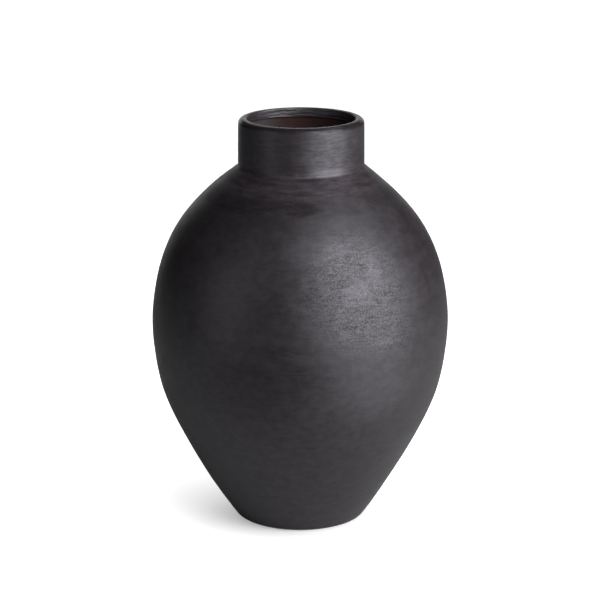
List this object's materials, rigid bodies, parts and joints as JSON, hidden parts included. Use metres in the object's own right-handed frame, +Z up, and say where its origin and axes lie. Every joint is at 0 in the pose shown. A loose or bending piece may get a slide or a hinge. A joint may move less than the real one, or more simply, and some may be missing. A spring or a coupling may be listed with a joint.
{
  "type": "clay pot",
  "caption": "Burnished black clay jar with a narrow flat foot, a full belly, a rounded shoulder and a short upright open neck.",
  "frame": {"origin": "centre of the foot on the floor plane", "axes": "+Z up along the jar's axis of revolution; X and Y are level, and -Y faces the viewer of the front view"},
  "size_m": [0.3, 0.3, 0.412],
  "materials": {
    "black_clay": "burnished satin, unglazed"
  },
  "bodies": {
    "root": {"pinched_base": "black_clay", "lower_wall": "black_clay", "shoulder_wall": "black_clay", "neck_collar": "black_clay", "lip_coil": "black_clay"}
  },
  "joints": []
}
